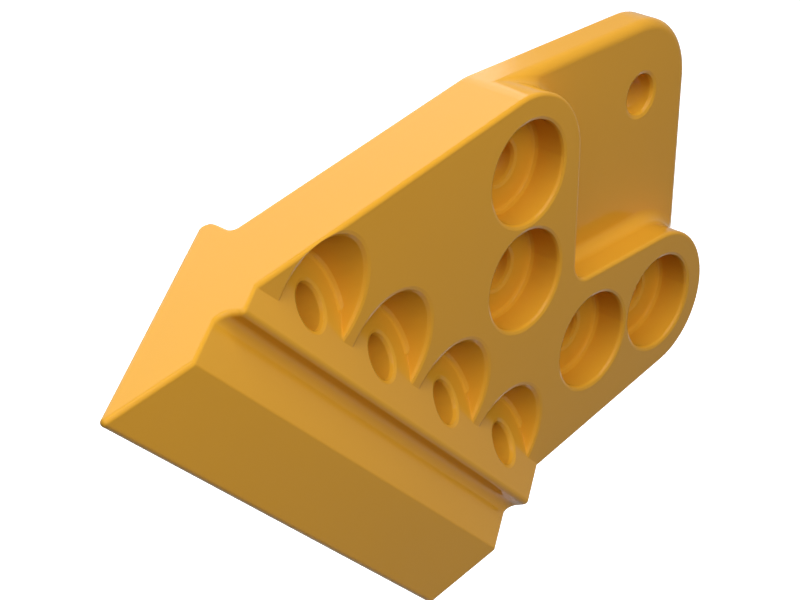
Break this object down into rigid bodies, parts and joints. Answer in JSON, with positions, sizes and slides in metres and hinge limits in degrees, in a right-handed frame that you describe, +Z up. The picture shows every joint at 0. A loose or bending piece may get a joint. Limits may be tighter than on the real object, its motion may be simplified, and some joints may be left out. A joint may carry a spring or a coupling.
{
  "type": "bucket side cutter",
  "caption": "Cast side cutter for an excavator bucket: a thick plate with sunk bolt heads, a thin bolted wing and a bevelled blade along its leading edge.",
  "frame": {"origin": "on the back mounting face, on the axis of the uppermost bolt", "axes": "+X back along the bucket's side wall, away from the cutting edge; +Y out of the back face, into the wall; +Z up"},
  "size_m": [0.5359, 0.0969, 0.2901],
  "materials": {
    "paint": "smooth semi-gloss yellow paint"
  },
  "bodies": {
    "root": {"side_cutter": "paint"}
  },
  "joints": []
}
